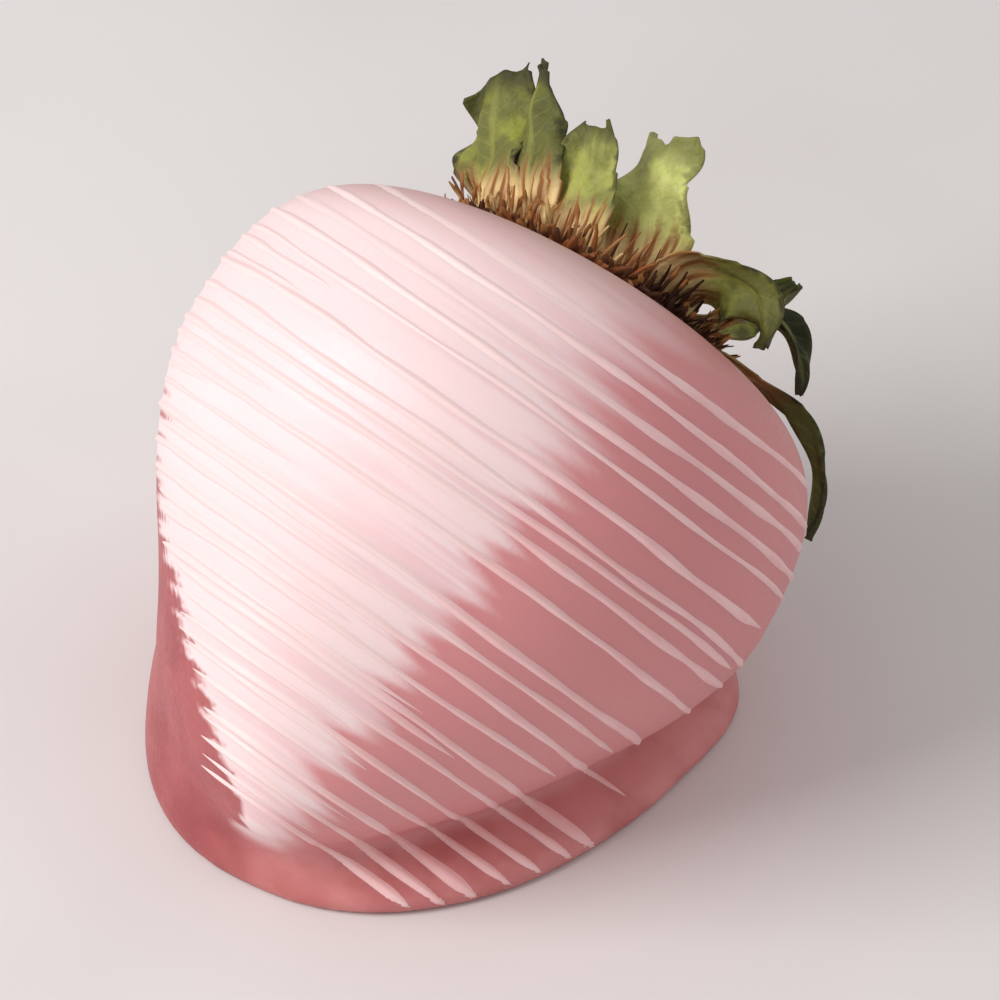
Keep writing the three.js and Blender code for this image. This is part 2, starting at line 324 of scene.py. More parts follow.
def outside_field(points):
    """The coat's outside: the dipped berry run together with its foot."""
    uneven = UNEVENNESS * waves(points, 6, 9, 22, seed=3)
    blend = lerp(CREASE_BLEND, WALL_BLEND, walled(points))
    return smooth_min(dipped_berry(points) + uneven, foot_field(points) + 0.5 * uneven, blend)


def ragged_hollow(points):
    """The hollow's mouth wavers where the chocolate's edge ran unevenly round the crown."""
    local = to_berry(points)
    angle = np.arctan2(local[:, 2], local[:, 0])
    mouth = np.clip((local[:, 1] - SHOULDER_LENGTH + 1.0) / 1.0, 0, 1)
    waver = 0.28 + 0.16 * np.sin(3 * angle + 0.6) + 0.12 * np.sin(7 * angle + 2.1)
    return berry_hollow(points) - mouth * np.maximum(waver, 0)


def coat_field(points):
    shell = -smooth_min(-outside_field(points), ragged_hollow(points), RIM_BLEND)
    return np.maximum(shell, -points[:, 2])


def gradient(field, points, step=0.02):
    return np.stack([(field(points + offset) - field(points - offset)) / (2 * step)
                     for offset in step * np.eye(3)], -1)


def settle(field, points, rounds=4, within=None):
    """Moves points onto the field's surface, or onto its line in a plane with the normal `within`."""
    for _ in range(rounds):
        slope = gradient(field, points)
        if within is not None:
            slope = slope - (slope @ within)[:, None] * within
        size = np.maximum((slope ** 2).sum(-1), 0.05)
        points = points - np.clip(field(points) / size, -0.5, 0.5)[:, None] * slope
    return points


# ---- meshes

def surface_mesh(field, low, high, cell):
    """A closed quad mesh of the field's surface: one point in each grid cell that it passes through."""
    axes = [np.arange(a, b + cell, cell) for a, b in zip(low, high)]
    grid = np.stack(np.meshgrid(*axes, indexing="ij"), -1)
    values = np.concatenate([field(sheet.reshape(-1, 3)) for sheet in grid]).reshape(grid.shape[:3])
    cells = tuple(n - 1 for n in values.shape)
    sums = np.zeros(cells + (3,))
    hits = np.zeros(cells)
    crossings = []
    for axis in range(3):
        order = (axis, (axis + 1) % 3, (axis + 2) % 3)
        turned = values.transpose(order)
        before, after = turned[:-1], turned[1:]
        changed = ((before < 0) != (after < 0))[:, 1:-1, 1:-1]
        i, j, k = np.nonzero(changed)
        j, k = j + 1, k + 1
        a, b = before[i, j, k], after[i, j, k]
        spot = grid.transpose(*order, 3)[i, j, k].copy()
        spot[:, axis] += cell * a / (a - b)
        around = []
        for dj, dk in ((-1, -1), (0, -1), (0, 0), (-1, 0)):
            where = tuple(np.roll([i, j + dj, k + dk], axis, axis=0))
            np.add.at(sums, where, spot)
            np.add.at(hits, where, 1)
            around.append(where)
        crossings.append((around, a >= 0))
    used = hits > 0
    number = np.full(cells, -1)
    number[used] = np.arange(used.sum())
    points = sums[used] / hits[used][:, None]
    faces = []
    for around, backwards in crossings:
        quads = np.stack([number[where] for where in around], -1)
        quads[backwards] = quads[backwards][:, ::-1]
        faces.append(quads)
    return settle(field, points), np.vstack(faces)


def lofted_faces(rings, count):
    """Faces of a tube of `rings` rings of `count` points, with both ends closed by a fan point."""
    ring = np.arange(rings - 1)[:, None] * count
    place = np.arange(count)[None, :]
    after = (place + 1) % count
    quads = np.stack([ring + place, ring + after, ring + count + after, ring + count + place], -1)
    faces = quads.reshape(-1, 4).tolist()
    last = (rings - 1) * count
    start_point, end_point = rings * count, rings * count + 1
    for i in range(count):
        j = (i + 1) % count
        faces.append([start_point, j, i])
        faces.append([end_point, last + i, last + j])
    return faces


def show(item):
    bpy.context.scene.collection.objects.link(item)


def make_piece(name, points, faces, material, replaced=(), attributes=None):
    """A shown piece from points in mm. attributes: name to three numbers a point."""
    mesh = bpy.data.meshes.new(name)
    mesh.from_pydata((np.asarray(points) * MM).tolist(), [], [list(map(int, f)) for f in faces])
    mesh.update()
    mesh.shade_smooth()
    for key, values in (attributes or {}).items():
        layer = mesh.attributes.new(key, "FLOAT_VECTOR", "POINT")
        layer.data.foreach_set("vector", np.asarray(values, np.float32).ravel())
    mesh.materials.append(material)
    piece = bpy.data.objects.new(name, mesh)
    show(piece)
    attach(piece, BODY)
    if replaced:
        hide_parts(*replaced)


def join_parts(parts):
    """Several (points, faces, values) as one."""
    points, faces, values = zip(*parts)
    starts = np.cumsum([0] + [len(part) for part in points])
    moved = [[corner + start for corner in face] for start, part in zip(starts, faces) for face in part]
    return np.vstack(points), moved, np.vstack(values)


# ---- material helpers

class Shader:
    """A material's node tree, built by short calls."""

    def __init__(self, name):
        self.material = bpy.data.materials.new(name)
        self.material.use_nodes = True
        self.tree = self.material.node_tree
        self.tree.nodes.clear()
        self.surface = self.tree.nodes.new("ShaderNodeBsdfPrincipled")
        output = self.tree.nodes.new("ShaderNodeOutputMaterial")
        self.tree.links.new(self.surface.outputs["BSDF"], output.inputs["Surface"])

    def put(self, target, value):
        """Links a socket, or sets a plain value."""
        if isinstance(value, bpy.types.NodeSocket):
            self.tree.links.new(value, target)
        else:
            target.default_value = value

    def set(self, **values):
        for name, value in values.items():
            self.put(self.surface.inputs[name.replace("_", " ")], value)

    def node(self, kind, inputs, **settings):
        """A new node with its settings, its inputs linked or set, by name or number. Gives its outputs."""
        node = self.tree.nodes.new("ShaderNode" + kind)
        for name, value in settings.items():
            setattr(node, name, value)
        for key, value in inputs.items():
            self.put(node.inputs[key], value)
        return node.outputs

    def attribute(self, name):
        vector = self.node("Attribute", {}, attribute_name=name)["Vector"]
        return self.node("SeparateXYZ", {0: vector})

    def place(self):
        return self.node("TexCoord", {})["Object"]

    def noise(self, size, detail=3.0, roughness=0.5, at=None):
        """Noise from 0 to 1 whose features are about `size` mm."""
        at = self.place() if at is None else at
        inputs = {"Scale": 1 / (size * MM), "Detail": detail, "Roughness": roughness, "Vector": at}
        return self.node("TexNoise", inputs)["Fac"]

    def towards(self, direction):
        """How far a place lies in a direction, in metres."""
        inputs = {0: self.place(), 1: tuple(direction)}
        return self.node("VectorMath", inputs, operation="DOT_PRODUCT")["Value"]

    def joined(self, x, y, z):
        return self.node("CombineXYZ", {0: x, 1: y, 2: z})[0]

    def math(self, operation, a, b=0.0):
        return self.node("Math", {0: a, 1: b}, operation=operation)[0]

    def times(self, a, b):
        return self.math("MULTIPLY", a, b)

    def plus(self, a, b):
        return self.math("ADD", a, b)

    def ramp(self, value, low, high, to_low=0.0, to_high=1.0):
        """Maps low..high smoothly to to_low..to_high."""
        inputs = {"Value": value, "From Min": low, "From Max": high, "To Min": to_low, "To Max": to_high}
        return self.node("MapRange", inputs, interpolation_type="SMOOTHSTEP")["Result"]

    def mix(self, share, a, b):
        """From a to b, each a socket or a screen colour."""
        a, b = (srgb(*colour) if isinstance(colour, tuple) else colour for colour in (a, b))
        return self.node("Mix", {"Factor": share, "A": a, "B": b}, data_type="RGBA")["Result"]

    def bump(self, height, depth):
        """Relief of `depth` mm."""
        return self.node("Bump", {"Height": height, "Distance": depth * MM, "Strength": 1.0})["Normal"]


def srgb(red, green, blue):
    """A screen colour of 0 to 255 as linear light, with alpha."""
    def linear(value):
        value /= 255
        return value / 12.92 if value <= 0.04045 else ((value + 0.055) / 1.055) ** 2.4
    return (linear(red), linear(green), linear(blue), 1.0)


def satin(shader, colour, scatter):
    """Satin chocolate that lets a little light through."""
    fine = shader.noise(0.5, detail=4, roughness=0.6)
    shader.set(Base_Color=colour, Roughness=shader.ramp(fine, 0.3, 0.7, 0.40, 0.52))
    shader.set(Normal=shader.bump(fine, 0.015), IOR=1.48)
    shader.set(Subsurface_Weight=scatter, Subsurface_Radius=(1.0, 0.42, 0.38), Subsurface_Scale=1.2 * MM)
    return shader.material


def coat_colour(shader):
    """Pink, paler in streaks where thin drizzle has run flat and with painted light on the lit side, with
    faint lines in it, and browner at the rim as painted shade under the crown. The mesh gives `zone`: the
    shares of the coat free of drizzle, of the lit side and of the rim."""
    bare_and_shaded, film_and_painted_light_share, rim = shader.attribute("zone")
    across, level, rising = (shader.towards(axis) for axis in drizzle_axes())
    streaked = shader.joined(across, shader.times(level, 0.04), shader.times(rising, 0.04))
    streaks = shader.ramp(shader.noise(1.6, detail=2, at=streaked), 0.3, 0.7, -0.14, 0.14)
    # paler where drizzle has run flat on the lit side, with painted light there
    share = shader.ramp(shader.plus(film_and_painted_light_share, streaks), 0.1, 0.9)
    colour = shader.mix(share, FLANK_PINK, FILM_AND_PAINTED_LIGHT_PINK)
    strength = shader.ramp(shader.towards(FILM_AND_PAINTED_LIGHT_SIDE), -8 * MM, 24 * MM, 0.7, 0.05)
    lines = shader.ramp(shader.noise(1.3, detail=2, at=streaked), 0.5, 0.62)
    lines = shader.times(shader.times(lines, strength), share)
    colour = shader.mix(lines, colour, FILM_LINE_PINK)
    # browner near the rim: painted shade under the crown
    colour = shader.mix(shader.times(rim, 0.6), colour, RIM_PAINTED_SHADE_BROWN)
    return bare_and_shaded, colour


def chocolate_material():
    """The coat, deeper red where it is free of drizzle and most on the wall: the base coat's colour, darkened
    there with painted shade, and on the wall with a painted shadow.
    """
    shader = Shader("pink_chocolate")
    bare_and_shaded, colour = coat_colour(shader)
    mottle = shader.ramp(shader.noise(5, detail=4), 0.35, 0.65)
    # painted shade on the foot and flank free of drizzle, darkest as a painted shadow on the wall side
    deeper_pinks_and_shade = shader.mix(mottle, *FOOT_PINKS_AND_SHADE)
    wall_shadow_share = shader.ramp(shader.towards((*WALL_SIDE, 0)), 15 * MM, 21 * MM)
    deeper_pinks_and_shade = shader.mix(wall_shadow_share, deeper_pinks_and_shade, shader.mix(mottle, *WALL_REDS_AND_SHADOW))
    return satin(shader, shader.mix(bare_and_shaded, colour, deeper_pinks_and_shade), 0.25)


def drizzle_material():
    """The strands: pale where they lie on the coat's paler lit side, which is partly painted light, pinker
    past it.
    """
    shader = Shader("pale_drizzle")
    film_and_painted_light_share = shader.attribute("zone")[1]
    patch = shader.ramp(shader.noise(4, detail=3), 0.35, 0.65)
    past_film_and_painted_light = shader.mix(patch, *STRAND_PINKS)
    # strands paler on the lit side: painted light, with the drizzle run flat there
    return satin(shader, shader.mix(film_and_painted_light_share, past_film_and_painted_light, STRAND_PALE), 0.1)


def flesh_material():
    """Moist red fruit, darker brown towards the calyx."""
    shader = Shader("strawberry_flesh")
    streak = shader.ramp(shader.noise(1.6, detail=4), 0.4, 0.7)
    colour = shader.mix(streak, *FLESH_REDS)
    along = shader.math("SUBTRACT", shader.towards(BERRY_AXIS), float(RING_CENTRE @ BERRY_AXIS) * MM)
    # the darker brown used towards the calyx
    dried = shader.mix(streak, *FLESH_BROWNS)
    near_calyx = shader.ramp(along, (SHOULDER_LENGTH - 2) * MM, SHOULDER_LENGTH * MM)
    colour = shader.mix(near_calyx, colour, dried)
    shader.set(Base_Color=colour, Roughness=0.38, Normal=shader.bump(shader.noise(0.9), 0.08))
    shader.set(Subsurface_Weight=0.2, Subsurface_Radius=(1.0, 0.3, 0.2), Subsurface_Scale=1.5 * MM)
    return shader.material


def leaf_green(shader, along, from_rib, under, pale, dark):
    """A sepal's green in patches, with paler veins and underside, and where the veins are."""
    patch = shader.ramp(shader.noise(2.2, detail=4), 0.42, 0.62)
    green = shader.mix(patch, *LEAF_GREENS)
    broad = shader.ramp(shader.noise(6, detail=2), 0.5, 0.6, 0, 0.55)
    green = shader.mix(broad, green, LEAF_SHADE)
    # pale share: partly the sepal's own yellower green, partly painted light on sepals that face the lamp
    green = shader.mix(shader.times(pale, shader.ramp(patch, 0, 1, 0.7, 1)), green, LEAF_PALE)
    # dark share: partly the sepal's own darker colour, partly painted shade on folds and the crown's shaded
    # side
    green = shader.mix(dark, green, LEAF_DARK)
    rib = shader.ramp(from_rib, 0.03, 0.14, 0.3, 0)
    slanted = shader.math("SUBTRACT", along, shader.times(from_rib, 0.22))
    wave = shader.math("SINE", shader.times(slanted, 62.0))
    side_veins = shader.times(shader.ramp(wave, 0.72, 1.0, 0, 0.15), shader.ramp(from_rib, 0.02, 0.9, 1, 0.2))
    veins = shader.math("MAXIMUM", rib, side_veins)
    green = shader.mix(veins, green, LEAF_VEIN)
    return shader.mix(shader.times(under, 0.25), green, LEAF_UNDERSIDE), veins


def withered_share(shader, along, from_rib, dry):
    """How withered a sepal is: along its ragged edges and at its tip."""
    ragged = shader.plus(from_rib, shader.ramp(shader.noise(1.0, detail=4), 0.2, 0.8, -0.25, 0.25))
    edge = shader.ramp(ragged, 0.76, 1.05, 0, 0.9)
    tip = shader.ramp(shader.plus(along, shader.times(from_rib, 0.1)), 0.80, 1.02, 0, 0.85)
    return shader.math("MAXIMUM", shader.times(edge, dry), shader.times(tip, dry))


def leaf_material():
    """A green sepal with withered edges and a streaked, cream to brown foot. The mesh gives `leaf`: place
    along, place across from -1 to 1, and 1 on the underside; and `tone`: pale, dark and dry shares."""
    shader = Shader("sepal_leaf")
    along, across, under = shader.attribute("leaf")
    # pale is partly painted light and dark partly painted shade
    pale, dark, dry = shader.attribute("tone")
    from_rib = shader.math("ABSOLUTE", across)
    green, veins = leaf_green(shader, along, from_rib, under, pale, dark)
    colour = shader.mix(withered_share(shader, along, from_rib, dry), green, LEAF_WITHERED)
    streak_at = shader.joined(shader.times(along, 0.3), across, 0.0)
    streak = shader.ramp(shader.noise(0.22 / MM, detail=3, at=streak_at), 0.4, 0.6)
    foot = shader.ramp(shader.plus(along, shader.times(streak, 0.12)), 0.28, 0.52, 0.95, 0)
    foot = shader.times(foot, shader.ramp(along, -0.16, -0.02, 0.25, 1))
    colour = shader.mix(foot, colour, shader.mix(streak, *LEAF_FEET))
    height = shader.math("SUBTRACT", shader.times(veins, 0.6), shader.noise(0.7, detail=4))
    shader.set(Base_Color=colour, Roughness=0.6, Specular_IOR_Level=0.3, Normal=shader.bump(height, 0.2))
    shader.set(Subsurface_Weight=0.12, Subsurface_Radius=(0.4, 0.6, 0.2), Subsurface_Scale=0.6 * MM)
    return shader.material


def calyx_material():
    """Dry green stem and calyx, browner in a fine fibrous pattern."""
    shader = Shader("calyx_stem")
    fibre = shader.ramp(shader.noise(0.7, detail=5, roughness=0.6), 0.32, 0.7)
    colour = shader.mix(fibre, *STEM_GREENS)
    shader.set(Base_Color=colour, Roughness=0.68, Normal=shader.bump(fibre, 0.12))
    return shader.material


def thread_material():
    """Dried stamens and fibres, cream over rust to dark brown, with rusty feet. `tone` is along,
    brownness and head. The darker brownness on the crown's shaded side is painted shade."""
    shader = Shader("dried_threads")
    along, brown, head = shader.attribute("tone")
    colour = shader.mix(shader.ramp(brown, 0, 0.5), THREAD_CREAM, THREAD_RUST)
    colour = shader.mix(shader.ramp(brown, 0.5, 1), colour, THREAD_DARK)
    foot = shader.ramp(along, 0.0, 0.4, 0.6, 0)
    colour = shader.mix(foot, colour, THREAD_FOOT)
    colour = shader.mix(head, colour, THREAD_HEAD)
    shader.set(Base_Color=colour, Roughness=0.65, Specular_IOR_Level=0.3)
    return shader.material


# ---- coat, fruit and drizzle

def build_coat(chocolate):
    low, high = (np.array(corner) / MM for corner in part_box("coating"))
    margin = 1.5
    points, faces = surface_mesh(coat_field, low - margin, high + margin, COAT_CELL)
    points[:, 2] = np.maximum(points[:, 2], 0)
    zones = coat_zones(points)
    make_piece("coat", points, faces, chocolate, ["coating"], {"zone": zones})


def coat_zones(points):
    """For each point: how free of drizzle it is, on the foot and the wall, which takes painted shade; how far
    it lies in the paler coat of the lit side, with drizzle run flat and painted light; and how near the thin
    rim, which takes painted shade under the crown."""
    outward = unit(gradient(outside_field, points))
    on_foot = smooth_step(0.1, 1.3, dipped_berry(points))
    station = station_of(points)
    ragged = sum(depth * np.sin(rate * station + start)
                 for depth, rate, start in ((0.03, 4.3, 1.9), (0.025, 9.7, 0), (0.015, 1.3, 0)))
    steep = smooth_step(-0.02, 0.03, outward @ LEFT - bare_turn(points[:, 2]) + ragged)
    # how near the rim: where the painted shade under the crown goes
    rim = smooth_step(SHOULDER_LENGTH - RIM_FADE, SHOULDER_LENGTH, to_berry(points)[:, 1])
    return np.stack([np.maximum(on_foot, steep), film_and_painted_light(points), rim], -1)


def bare_turn(height):
    """How far left the coat has to face to be bare, at a height."""
    return np.interp(height, BARE_HEIGHTS, BARE_TURN)


def film_and_painted_light(points):
    """How far a place lies in the paler coat of the lit side, with drizzle run flat and painted light: fully
    on the left, with a ragged edge.
    """
    station = station_of(points)
    past_edge = (points - RING_CENTRE) @ FILM_AND_PAINTED_LIGHT_SIDE - FILM_AND_PAINTED_LIGHT_EDGE - FILM_AND_PAINTED_LIGHT_DRAWN_IN * smooth_step(0, 12, station)
    ragged = 0.9 * np.sin(1.7 * station + 0.5) + 0.7 * np.sin(4.3 * station + 1.9)
    softness = lerp(*FILM_AND_PAINTED_LIGHT_SOFTNESS, smooth_step(-2, 10, station))
    return smooth_step(-softness, softness, past_edge + ragged)


def revolved(outline, segments, wobble=None):
    """A closed turned form about the berry's axis, leaning with its tip. outline starts and ends on it."""
    outline = np.asarray(outline)
    angles = np.arange(segments) * 2 * math.pi / segments
    middle = outline[1:-1]
    radius, along = np.meshgrid(middle[:, 0], angles, indexing="ij")[0], middle[:, 1][:, None]
    along = along + 0 * radius
    if wobble is not None:
        radius, along = wobble(radius, along, angles[None, :])
    side, drop = tip_lean(along)
    rings = np.stack([radius * np.cos(angles) + side, along, radius * np.sin(angles) + drop], -1)
    tips = outline[[0, -1], 1]
    side, drop = tip_lean(tips)
    ends = np.stack([side, tips, drop], -1)
    points = np.vstack([rings.reshape(-1, 3), ends])
    faces = [face[::-1] for face in lofted_faces(len(middle), segments)]
    return points, faces


def build_fruit(flesh):
    """The fruit in the coat. Its shoulder shows as a puckered ring round the calyx."""
    neck = SHOULDER_LENGTH - RIM_DEPTH - PIECE_GAP
    outline = berry_outline(COAT_THICKNESS + PIECE_GAP, NECK_RADIUS, neck)[::3]
    top = SHOULDER_LENGTH + NECK_RISE
    shoulder = smooth_curve([(NECK_RADIUS, SHOULDER_LENGTH), (NECK_RADIUS - 0.1, SHOULDER_LENGTH + 0.4),
                             (NECK_RADIUS - 0.8, top), (7.5, top + 0.1), (4, top - 0.2), (0, top - 0.2)], 24)
    outline = np.vstack([outline[:-1], shoulder])

    def pucker(radius, along, angles):
        """Shallow furrows that run out from the calyx."""
        rim = np.clip((along - SHOULDER_LENGTH + 0.5) / 1.0, 0, 1)
        furrow = 0.10 * np.sin(17 * angles) + 0.08 * np.sin(29 * angles + 1.0)
        return radius - rim * 0.05, along + rim * furrow

    points, faces = revolved(outline, 160, pucker)
    make_piece("berry_flesh", to_table(points), faces, flesh, ["fruit"])


def trace_strand(station, draw):
    """Points along the coat's surface in the strand's plane, from its left end to its right end."""
    normal, level, rising = drizzle_axes()
    centre = RING_CENTRE + normal * station
    side, drop = tip_lean(to_berry(centre[None])[:, 1])
    top = centre + side * BERRY_SIDE + drop * BERRY_UP
    ray = top + np.linspace(0, 40, 400)[:, None] * rising
    top = ray[np.argmax(outside_field(ray) > 0)]
    start = settle(outside_field, top[None], 6, within=normal)[0]
    sides = []
    for heading in (-1, 1):
        wrap = math.sin(STRAND_WRAP * draw.uniform(0.5, 1.3))
        tooth = draw.uniform(*TOOTH_SPREAD)
        onto_foot = heading > 0 and station < FOOT_STRANDS_FROM
        point, path = start, []
        direction = heading * level
        for _ in range(400):
            slope = gradient(outside_field, point[None])[0]
            outward = unit(slope - (slope @ normal) * normal)
            tangent = np.cross(outward, normal)
            tangent = tangent if tangent @ direction > 0 else -tangent
            direction = tangent
            point = settle(outside_field, (point + tangent * STRAND_STEP)[None], 2, within=normal)[0]
            path.append(point)
            if point[2] < END_HEIGHTS[onto_foot]:
                break
            if not onto_foot and outward @ rising < -wrap:
                break
            if heading < 0 and unit(slope) @ LEFT > bare_turn(point[2]) + tooth:
                break
        sides.append(path)
    return np.array(sides[0][::-1] + [start] + sides[1])


def strand_mesh(station, width, height, share, draw):
    """One strand: a low rounded ridge with flared feet, sunk into the coat. share: how far it gets."""
    path = trace_strand(station, draw)
    path = path[:max(int(len(path) * share), 12)]
    normal = drizzle_axes()[0]
    run = np.arange(len(path)) * STRAND_STEP
    middle = run - run[-1] / 2
    drift = math.tan(math.radians(draw.uniform(-0.5, 0.5))) * middle
    for length, reach in ((draw.uniform(24, 50), 0.11), (draw.uniform(8, 14), 0.03)):
        drift += reach * np.sin(2 * math.pi * run / length + draw.uniform(0, 6.3))
    path = settle(outside_field, path + drift[:, None] * normal, 3)
    outward = unit(gradient(outside_field, path))
    tangent = unit(np.gradient(path, axis=0))
    sideways = unit(np.cross(tangent, outward))
    swell = 1 + 0.14 * np.sin(2 * math.pi * run / draw.uniform(9, 18) + draw.uniform(0, 6.3))
    swell += 0.05 * np.sin(2 * math.pi * run / draw.uniform(3, 6) + draw.uniform(0, 6.3))
    right_taper = 2.0 if station < FOOT_STRANDS_FROM and share == 1 else 4.5
    taper = np.clip(run / 3.5, 0.02, 1) ** 0.6 * np.clip((run[-1] - run) / right_taper, 0.02, 1) ** 0.6
    on_foot = smooth_step(0.2, 2.0, dipped_berry(path))
    thinning = 1 - 0.15 * run / run[-1] + 0.5 * on_foot
    half = width / 2 * swell * taper * thinning
    lift = height * swell * taper
    sunk = 0.04 + half ** 2 / 30
    across = np.linspace(-1, 1, 9)
    bell = np.exp(-(across * BELL) ** 2) - math.exp(-BELL ** 2)
    section = [(a * 1.2, b) for a, b in zip(across, bell)] + [(0.7, -0.6), (-0.7, -0.6)]
    rings = np.stack([path + sideways * (half * a)[:, None] + outward * (lift * b - sunk)[:, None]
                      for a, b in section], 1)
    caps = np.array([path[0] - outward[0] * 0.05, path[-1] - outward[-1] * 0.05])
    points = np.vstack([rings.reshape(-1, 3), caps])
    # the strands take the lit side's painted light too
    zones = np.repeat(np.stack([0 * run, film_and_painted_light(path), 0 * run], -1), len(section), axis=0)
    return points, lofted_faces(len(path), len(section)), np.vstack([zones, zones[:1], zones[-1:]])


def fill_strands(draw):
    """Shorter strands in the gaps between the long ones."""
    strands = []
    station = FILL_RANGE[0]
    while station > FILL_RANGE[1]:
        if min(abs(station - other[0]) for other in STRANDS) > FILL_CLEARANCE:
            width, height = draw.uniform(0.5, 0.8), draw.uniform(0.14, 0.24)
            strands.append((station, width, height, draw.uniform(*FILL_REACH)))
        station -= FILL_SPACING * draw.uniform(0.8, 1.2)
    return strands


def build_drizzle(material):
    draw = random.Random(11)
    strands = [(*strand, 1) for strand in STRANDS] + fill_strands(draw)
    points, faces, zones = join_parts([strand_mesh(*strand, draw) for strand in strands])
    points[:, 2] = np.maximum(points[:, 2], 0.05)
    make_piece("drizzle", points, faces, material, (), {"zone": zones})


# ---- crown

def radial(angle):
    return np.array([math.cos(angle), 0.0, math.sin(angle)])


def build_calyx(material):
    """The lobed disc and the cut stem on it."""
    base = CROWN_SEAT
    top = base + CALYX_THICKNESS
    outline = smooth_curve([
        (0, base), (CALYX_RADIUS * 0.5, base), (CALYX_RADIUS * 0.95, base + 0.1),
        (CALYX_RADIUS, base + 0.7), (CALYX_RADIUS * 0.75, top - 0.2), (STEM_RADIUS * 2.4, top + 0.4),
        (STEM_RADIUS * 1.2, top + 1.6), (STEM_RADIUS, top + 3.5),
        (STEM_RADIUS * 1.15, top + STEM_LENGTH - 0.3), (STEM_RADIUS * 0.8, top + STEM_LENGTH),
        (0, top + STEM_LENGTH - 0.2)], 64)

    def lobes(radius, along, angles):
        """Folds that run out to each leaf, and fibres up the stem."""
        out = np.clip((radius - 2.5) / 3, 0, 1)
        fold = 0.30 * np.sin(12 * angles + 0.4) + 0.12 * np.sin(31 * angles)
        fibre = (1 - out) * 0.05 * np.sin(9 * angles + 3 * along)
        return radius * (1 + 0.03 * out * np.sin(5 * angles + 1)) + fibre, along + out * fold * 0.6

    points, faces = revolved(outline, 144, lobes)
    make_piece("calyx_stem", to_table(points), faces, material, ["calyx"])


# The sepals in their order round the calyx, `sepal_01` first. As the imported model has them: the angle
# where one starts, its length and width, the angles it grows towards and rises by from foot to tip, hold
# (above 1 it bends late) and turn about its own line. Its looks: tip (share of the width left at its end,
# 0 is pointed), skew of the tip, curl of its edges, ruffle, and the pale, dark and dry shares of its colour.
# The pale share is partly painted light on sepals that face the lamp, the dark share partly painted shade on
# folds and on the crown's shaded side.
Sepal = namedtuple("Sepal", "at length width aim rise hold turn tip skew curl ruffle pale dark dry")
SEPALS = [
    Sepal(50, 10.8, 7.2, (158, 160), (77, 73), 1, 20, 0.95, 0.2, 0.5, 0.12, 1.0, 0.0, 0.6),
    Sepal(82, 9.0, 6.0, (130, 140), (78, 76), 1, 20, 0.5, 0.0, -0.5, 0.25, 0.35, 0.0, 0.8),
    Sepal(108, 12.3, 6.0, (155, 170), (72, 64), 1, 20, 0.4, 0.7, 0.8, 0.15, 0.0, 0.6, 0.9),
    Sepal(134, 10.8, 7.2, (155, 165), (62, 70), 1, 55, 0.8, -0.4, 0.5, 0.2, 0.1, 0.15, 1.0),
    Sepal(174, 6.0, 4.2, (160, 160), (70, 66), 1, 0, 0.2, 0.0, 0.5, 0.2, 0.1, 0.2, 0.8),
    Sepal(207, 11.0, 6.0, (210, 214), (66, 52), 1, 0, 0.2, 0.0, 0.4, 0.2, 0.2, 0.0, 0.7),
    Sepal(238, 12.5, 4.8, (238, 238), (52, 78), 1, -15, 0.2, 0.0, -0.5, 0.2, 0.1, 0.1, 0.8),
    Sepal(270, 15.0, 6.0, (270, 270), (34, -24), 1, 0, 0.3, 0.0, 0.4, 0.16, 0.35, 0.0, 0.6),
    Sepal(301, 13.5, 4.8, (301, 301), (46, 66), 1, 20, 0.2, 0.0, 0.6, 0.2, 0.1, 0.15, 0.8),
    Sepal(338, 18.0, 3.4, (344, 322), (11, -81), 1.3, 0, 0.0, 0.0, 1.2, 0.1, 0.0, 1.0, 1.0),
    Sepal(361, 12.6, 4.0, (360, 340), (60, -80), 1.2, 50, 0.1, 0.0, 0.9, 0.3, 0.0, 0.9, 1.0),
    Sepal(29, 12.2, 5.6, (2, -20), (80, -86), 1.1, -55, 0.3, 0.0, -0.6, 0.3, 0.25, 0.38, 0.9),
]
LEAF_STEPS = 48
FOOT_START = 2.4  # the sepals' feet start this far from the stem's middle
FOOT_STEPS = 12
FOOT_LIFTS = (0.0, 0.3, 0.15)  # the feet lie over each other by turns
LEAF_COLUMNS = 17
BLADE_THICKNESS = 0.34
CRUMPLE_DEPTH = 0.6
RIB_DEPTH = 0.12
ALONG_BERRY = np.array([0.0, 1.0, 0.0])  # the crown is worked out in the berry's own coordinates


def sepal_foot(at, lift):
    """The midline from the stem over the calyx to where the sepal's blade starts."""
    seat = CROWN_SEAT + SEPAL_THICKNESS
    path = smooth_curve([(FOOT_START, seat + 1.7 + lift), (5.4, seat + 1.05 + lift),
                         (7.4, seat + 0.55 + lift / 2), (SEPAL_SEAT_RADIUS, seat)], FOOT_STEPS + 1)
    outward = radial(math.radians(at))
    across = np.cross(outward, ALONG_BERRY)
    spine = []
    for here, after in zip(path[:-1], path[1:]):
        along = unit((after[0] - here[0]) * outward + (after[1] - here[1]) * ALONG_BERRY)
        spine.append((here[0] * outward + here[1] * ALONG_BERRY, along, across, np.cross(across, along)))
    return spine


